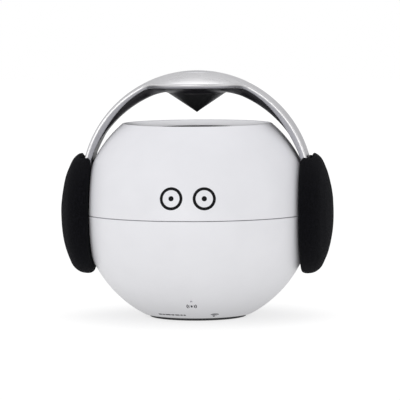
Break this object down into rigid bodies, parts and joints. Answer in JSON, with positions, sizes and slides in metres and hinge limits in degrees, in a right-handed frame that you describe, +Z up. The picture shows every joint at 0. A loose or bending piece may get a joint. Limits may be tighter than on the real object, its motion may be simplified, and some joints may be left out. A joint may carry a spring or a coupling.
{
  "type": "portable wireless speaker",
  "caption": "Ball-shaped desktop speaker with a headphone-style band, foam ear pads and a sound-deflecting cone above a dished grille.",
  "frame": {"origin": "middle of the base, on the surface the speaker stands on", "axes": "+Z up; -Y is the front with the microphone hole; the ear pads are on +X and -X; the controls are at the back on +Y"},
  "size_m": [0.1256, 0.1062, 0.113],
  "materials": {
    "shell_white": "satin moulded white ABS",
    "dish_white": "satin moulded white ABS",
    "grille_black": "black perforated sheet",
    "band_silver": "satin silver, fine brushed",
    "liner_black": "dark gloss plastic",
    "cone_black": "black satin plastic",
    "foam_black": "open-cell foam",
    "rubber_black": "matte rubber",
    "panel_white": "satin plastic",
    "button_grey": "satin plastic",
    "steel": "plain steel",
    "dark_plastic": "matte plastic",
    "board_green": "circuit board",
    "battery_foil": "foil pouch",
    "cone_paper": "coated paper",
    "coil_copper": "enamelled copper",
    "status_lens": "translucent lens",
    "wire_red": "insulated wire"
  },
  "bodies": {
    "speaker_body": {"amplifier_chip": "dark_plastic", "arm_screw_1": "steel", "arm_screw_2": "steel", "arm_screw_3": "steel", "arm_screw_4": "steel", "aux_socket": "dark_plastic", "battery_cell": "battery_foil", "battery_cradle": "dark_plastic", "battery_lead": "wire_red", "cone_screw": "steel", "crown_disc": "band_silver", "cup_screw_left": "steel", "cup_screw_right": "steel", "deflector_cone": "cone_black", "dish_ring": "dish_white", "driver_frame": "steel", "driver_gasket": "rubber_black", "driver_lead": "wire_red", "driver_magnet": "steel", "driver_screw_1": "steel", "driver_screw_2": "steel", "driver_screw_3": "steel", "driver_screw_4": "steel", "driver_surround": "rubber_black", "ear_cup_left": "dark_plastic", "ear_cup_right": "dark_plastic", "ear_foam_left": "foam_black", "ear_foam_right": "foam_black", "foot_ring": "rubber_black", "headband_cover": "band_silver", "headband_liner": "liner_black", "io_board": "board_green", "io_lead": "wire_red", "io_screw_1": "steel", "io_screw_2": "steel", "lower_shell": "shell_white", "main_pcb": "board_green", "mic_capsule": "steel", "nut_plate_left": "steel", "nut_plate_right": "steel", "pcb_screw_1": "steel", "pcb_screw_2": "steel", "pcb_screw_3": "steel", "radio_module": "steel", "rear_panel": "panel_white", "status_lens": "status_lens", "switch_base": "steel", "tact_switch_1": "dark_plastic", "tact_switch_2": "dark_plastic", "tact_switch_3": "dark_plastic", "top_grille": "grille_black", "upper_shell": "shell_white", "usb_socket": "steel"},
    "driver_cone": {"diaphragm": "cone_paper", "dust_cap": "cone_paper", "voice_coil": "coil_copper"},
    "volume_down_key": {"button_volume_down": "button_grey"},
    "play_key": {"button_play": "button_grey"},
    "volume_up_key": {"button_volume_up": "button_grey"},
    "power_slider": {"switch_knob": "dark_plastic"}
  },
  "joints": [
    {"name": "cone_travel", "type": "slide", "parent": "speaker_body", "child": "driver_cone", "axis": [0, 0, 1], "range_m": [-0.0015, 0.0015], "stiffness_N_per_m": 900},
    {"name": "volume_down_press", "type": "slide", "parent": "speaker_body", "child": "volume_down_key", "axis": [0, -0.8988, 0.4384], "range_m": [0, 0.0005], "stiffness_N_per_m": 600, "springref_m": -0.0003},
    {"name": "play_press", "type": "slide", "parent": "speaker_body", "child": "play_key", "axis": [0, -0.8988, 0.4384], "range_m": [0, 0.0005], "stiffness_N_per_m": 600, "springref_m": -0.0003},
    {"name": "volume_up_press", "type": "slide", "parent": "speaker_body", "child": "volume_up_key", "axis": [0, -0.8988, 0.4384], "range_m": [0, 0.0005], "stiffness_N_per_m": 600, "springref_m": -0.0003},
    {"name": "power_switch", "type": "slide", "parent": "speaker_body", "child": "power_slider", "axis": [-1, 0, 0], "range_m": [0, 0.003]}
  ]
}
